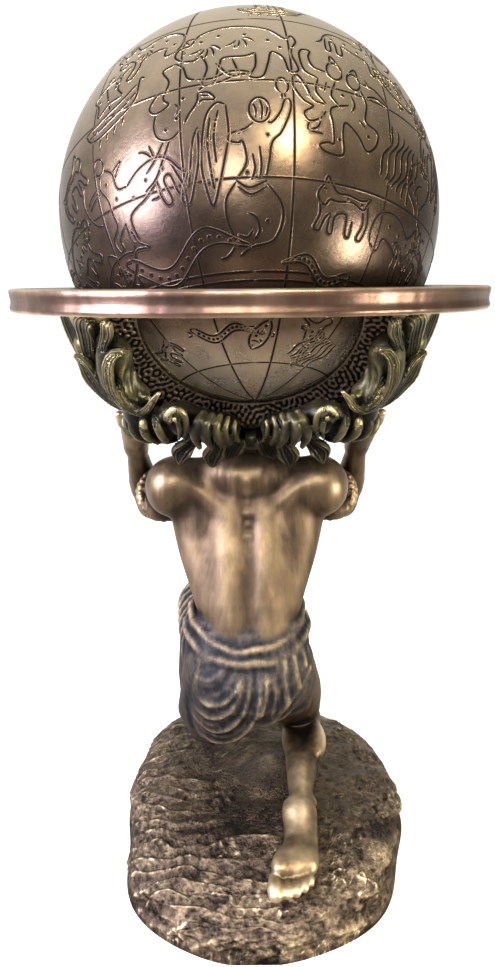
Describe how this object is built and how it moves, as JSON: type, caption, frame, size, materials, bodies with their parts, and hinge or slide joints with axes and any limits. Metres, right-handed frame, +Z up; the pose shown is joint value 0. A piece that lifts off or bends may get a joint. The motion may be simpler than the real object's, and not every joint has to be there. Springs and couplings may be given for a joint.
{
  "type": "kneeling atlas statuette",
  "caption": "Kneeling male figure on a rock carrying a celestial globe in a leafy openwork cup with a flat horizon ring, cast bronze-filled resin.",
  "frame": {"origin": "on the support surface, centre of the whole statuette's outline in plan, under the globe's vertical axis", "axes": "+Z up through the globe's poles, +Y the way the figure faces, -Y its back, +X the figure's right side"},
  "size_m": [0.169, 0.169, 0.3054],
  "materials": {
    "rock": "cold-cast bronze, coarse carved stone texture, dark brown patina with rubbed edges",
    "figure": "cold-cast bronze, polished skin with brown patina and blue-black cloth",
    "cradle": "cold-cast bronze, olive patina with gold rubbed edges",
    "ring": "cold-cast bronze, satin brown patina",
    "globe": "cold-cast bronze, satin brown patina with dark engraved lines"
  },
  "bodies": {
    "root": {"rock_base": "rock", "atlas_figure": "figure", "acanthus_cradle": "cradle", "horizon_ring": "ring", "celestial_globe": "globe"}
  },
  "joints": []
}
